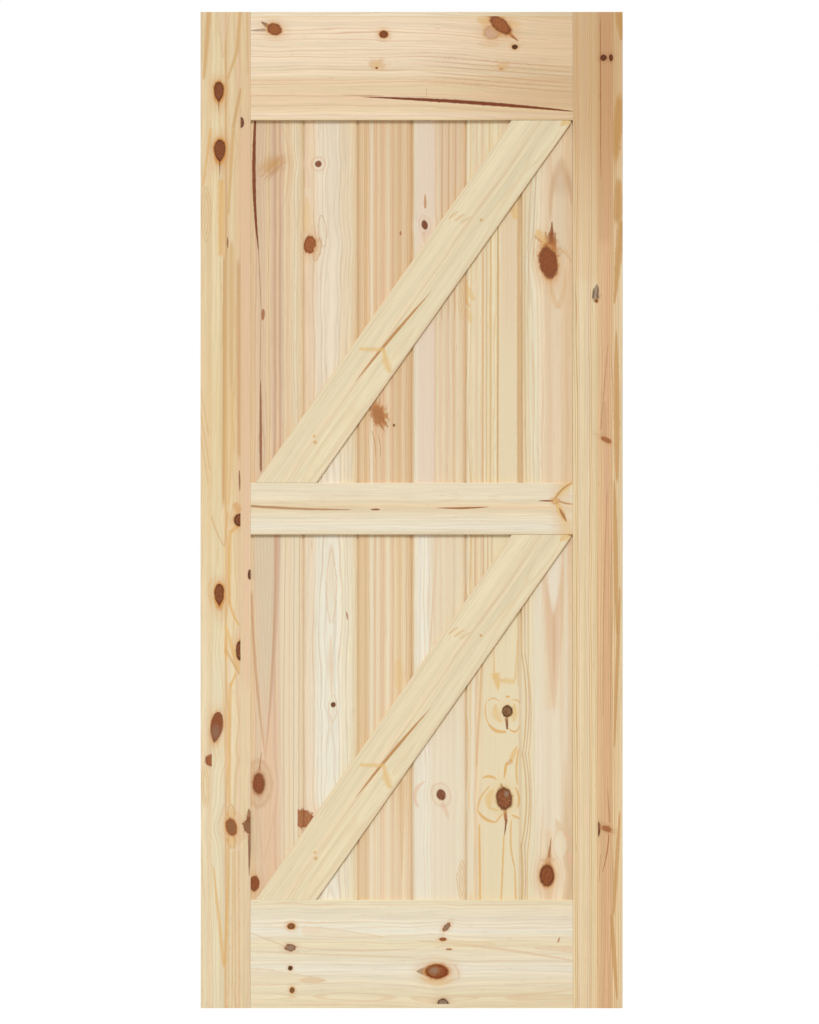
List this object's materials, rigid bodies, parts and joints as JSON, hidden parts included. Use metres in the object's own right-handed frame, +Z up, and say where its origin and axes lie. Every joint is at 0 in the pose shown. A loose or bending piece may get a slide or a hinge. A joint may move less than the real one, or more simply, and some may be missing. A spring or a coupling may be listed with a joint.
{
  "type": "sliding barn door",
  "caption": "Unfinished knotty pine barn door slab: framed upright planks with a middle rail and parallel diagonal braces, made to hang from a sliding track.",
  "frame": {"origin": "middle of the door's bottom edge", "axes": "+X across the door to the right as seen from the show face, +Y from the show face to the back, +Z up"},
  "size_m": [0.904, 0.035, 2.134],
  "materials": {
    "stile_pine": "sanded, unfinished",
    "rail_pine": "sanded, unfinished",
    "brace_pine": "sanded, unfinished",
    "plank_pine": "sanded, unfinished",
    "dowel_beech": "turned, fluted",
    "screw_zinc": "zinc plated"
  },
  "bodies": {
    "root": {"left_stile": "stile_pine", "right_stile": "stile_pine", "top_rail": "rail_pine", "bottom_rail": "rail_pine", "mid_rail": "brace_pine", "upper_brace": "brace_pine", "lower_brace": "brace_pine", "plank_1": "plank_pine", "plank_2": "plank_pine", "plank_3": "plank_pine", "plank_4": "plank_pine", "plank_5": "plank_pine", "plank_6": "plank_pine", "top_left_dowels": "dowel_beech", "top_right_dowels": "dowel_beech", "bottom_left_dowels": "dowel_beech", "bottom_right_dowels": "dowel_beech", "mid_rail_screws": "screw_zinc", "upper_brace_screws": "screw_zinc", "lower_brace_screws": "screw_zinc"}
  },
  "joints": []
}
